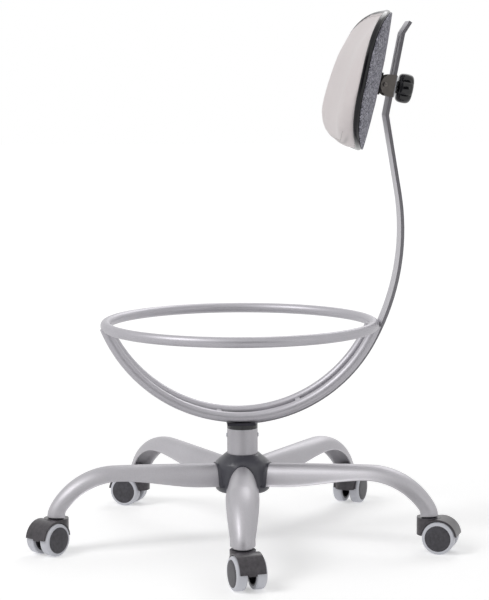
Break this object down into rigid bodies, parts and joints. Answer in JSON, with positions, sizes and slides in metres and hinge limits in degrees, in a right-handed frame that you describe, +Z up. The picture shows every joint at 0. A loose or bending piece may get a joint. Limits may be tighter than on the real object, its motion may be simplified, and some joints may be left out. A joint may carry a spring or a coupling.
{
  "type": "balance ball chair frame",
  "caption": "Wheeled chair frame that cradles an exercise ball in a round tube ring, with a padded backrest clamped to a flat curved mast so it slides and tilts.",
  "frame": {"origin": "on the floor, on the axis of the column", "axes": "+Z up; the sitter faces -Y, so the mast and the backrest are on the +Y side; +X is the sitter's left"},
  "size_m": [0.6396, 0.6658, 0.8236],
  "materials": {
    "base_silver": "silver powder coat, satin",
    "frame_silver": "silver powder coat, satin",
    "black_moulding": "fine-grained black moulding",
    "bright_steel": "zinc-plated",
    "post_steel": "turned, lightly oiled",
    "bracket_steel": "dark grey paint, satin",
    "caster_plastic": "dark warm grey moulding, satin",
    "caster_tread": "light grey soft tread",
    "knob_black": "glossy black",
    "shell_black": "glossy black moulding",
    "flecked_back": "grey with fine light and dark flecks",
    "leatherette": "greige leatherette, fine grain, soft sheen"
  },
  "bodies": {
    "base": {"arm_1": "base_silver", "arm_2": "base_silver", "arm_3": "base_silver", "arm_4": "base_silver", "arm_5": "base_silver", "column_tubes": "base_silver", "hub_cover": "black_moulding", "swivel_bushes": "black_moulding", "bush_screws": "bright_steel", "stem_sockets": "black_moulding", "caster_stems": "bright_steel"},
    "seat": {"swivel_post": "post_steel", "post_retainer": "bright_steel", "seat_plate": "bracket_steel", "cradle_tube_left": "frame_silver", "cradle_tube_right": "frame_silver", "cradle_ties": "frame_silver", "seat_ring": "frame_silver", "mast": "frame_silver", "mast_tip": "frame_silver"},
    "clamp": {"clamp_bracket": "bracket_steel", "clamp_screw": "bright_steel", "pressure_plate": "bright_steel", "tilt_rivets": "bright_steel"},
    "knob": {"clamp_knob": "knob_black"},
    "pad": {"pad_bracket": "bracket_steel", "pad_screws": "bright_steel", "pad_panel": "flecked_back", "pad_shell": "shell_black", "pad_cushion": "leatherette"},
    "caster_1": {"caster_1_body": "caster_plastic", "caster_1_axle": "bright_steel"},
    "caster_1_roller_a": {"caster_1_wheel_a": "caster_plastic", "caster_1_tyre_a": "caster_tread"},
    "caster_1_roller_b": {"caster_1_wheel_b": "caster_plastic", "caster_1_tyre_b": "caster_tread"},
    "caster_2": {"caster_2_body": "caster_plastic", "caster_2_axle": "bright_steel"},
    "caster_2_roller_a": {"caster_2_wheel_a": "caster_plastic", "caster_2_tyre_a": "caster_tread"},
    "caster_2_roller_b": {"caster_2_wheel_b": "caster_plastic", "caster_2_tyre_b": "caster_tread"},
    "caster_3": {"caster_3_body": "caster_plastic", "caster_3_axle": "bright_steel"},
    "caster_3_roller_a": {"caster_3_wheel_a": "caster_plastic", "caster_3_tyre_a": "caster_tread"},
    "caster_3_roller_b": {"caster_3_wheel_b": "caster_plastic", "caster_3_tyre_b": "caster_tread"},
    "caster_4": {"caster_4_body": "caster_plastic", "caster_4_axle": "bright_steel"},
    "caster_4_roller_a": {"caster_4_wheel_a": "caster_plastic", "caster_4_tyre_a": "caster_tread"},
    "caster_4_roller_b": {"caster_4_wheel_b": "caster_plastic", "caster_4_tyre_b": "caster_tread"},
    "caster_5": {"caster_5_body": "caster_plastic", "caster_5_axle": "bright_steel"},
    "caster_5_roller_a": {"caster_5_wheel_a": "caster_plastic", "caster_5_tyre_a": "caster_tread"},
    "caster_5_roller_b": {"caster_5_wheel_b": "caster_plastic", "caster_5_tyre_b": "caster_tread"}
  },
  "joints": [
    {"name": "seat_swivel", "type": "hinge", "parent": "base", "child": "seat", "pos_m": [0, 0, 0.1759], "axis": [0, 0, 1], "continuous": true},
    {"name": "backrest_slide", "type": "slide", "parent": "seat", "child": "clamp", "axis": [0, 0.1908, 0.9816], "range_m": [-0.0075, 0.06]},
    {"name": "knob_turn", "type": "hinge", "parent": "clamp", "child": "knob", "pos_m": [0, 0.23422, 0.70754], "axis": [0, 0.9816, -0.1908], "range_deg": [0, 450]},
    {"name": "pad_tilt", "type": "hinge", "parent": "clamp", "child": "pad", "pos_m": [0, 0.21891, 0.71052], "axis": [1, 0, 0], "range_deg": [-8, 8]},
    {"name": "caster_1_swivel", "type": "hinge", "parent": "base", "child": "caster_1", "pos_m": [0.29953, -0.01675, 0.05], "axis": [0, 0, 1], "continuous": true},
    {"name": "caster_1_roll_a", "type": "hinge", "parent": "caster_1", "child": "caster_1_roller_a", "pos_m": [0.31681, -0.01169, 0.025], "axis": [-0.2807, 0.9598, 0], "continuous": true},
    {"name": "caster_1_roll_b", "type": "hinge", "parent": "caster_1", "child": "caster_1_roller_b", "pos_m": [0.31681, -0.01169, 0.025], "axis": [-0.2807, 0.9598, 0], "continuous": true},
    {"name": "caster_2_swivel", "type": "hinge", "parent": "base", "child": "caster_2", "pos_m": [0.10849, 0.2797, 0.05], "axis": [0, 0, 1], "continuous": true},
    {"name": "caster_2_roll_a", "type": "hinge", "parent": "caster_2", "child": "caster_2_roller_a", "pos_m": [0.1147, 0.29659, 0.025], "axis": [-0.9385, 0.3453, 0], "continuous": true},
    {"name": "caster_2_roll_b", "type": "hinge", "parent": "caster_2", "child": "caster_2_roller_b", "pos_m": [0.1147, 0.29659, 0.025], "axis": [-0.9385, 0.3453, 0], "continuous": true},
    {"name": "caster_3_swivel", "type": "hinge", "parent": "base", "child": "caster_3", "pos_m": [-0.23248, 0.18961, 0.05], "axis": [0, 0, 1], "continuous": true},
    {"name": "caster_3_roll_a", "type": "hinge", "parent": "caster_3", "child": "caster_3_roller_a", "pos_m": [-0.24849, 0.19784, 0.025], "axis": [-0.4571, -0.8894, 0], "continuous": true},
    {"name": "caster_3_roll_b", "type": "hinge", "parent": "caster_3", "child": "caster_3_roller_b", "pos_m": [-0.24849, 0.19784, 0.025], "axis": [-0.4571, -0.8894, 0], "continuous": true},
    {"name": "caster_4_swivel", "type": "hinge", "parent": "base", "child": "caster_4", "pos_m": [-0.25217, -0.16251, 0.05], "axis": [0, 0, 1], "continuous": true},
    {"name": "caster_4_roll_a", "type": "hinge", "parent": "caster_4", "child": "caster_4_roller_a", "pos_m": [-0.25983, -0.1788, 0.025], "axis": [0.9048, -0.4258, 0], "continuous": true},
    {"name": "caster_4_roll_b", "type": "hinge", "parent": "caster_4", "child": "caster_4_roller_b", "pos_m": [-0.25983, -0.1788, 0.025], "axis": [0.9048, -0.4258, 0], "continuous": true},
    {"name": "caster_5_swivel", "type": "hinge", "parent": "base", "child": "caster_5", "pos_m": [0.07663, -0.29005, 0.05], "axis": [0, 0, 1], "continuous": true},
    {"name": "caster_5_roll_a", "type": "hinge", "parent": "caster_5", "child": "caster_5_roller_a", "pos_m": [0.0898, -0.30232, 0.025], "axis": [0.682, 0.7314, 0], "continuous": true},
    {"name": "caster_5_roll_b", "type": "hinge", "parent": "caster_5", "child": "caster_5_roller_b", "pos_m": [0.0898, -0.30232, 0.025], "axis": [0.682, 0.7314, 0], "continuous": true}
  ]
}
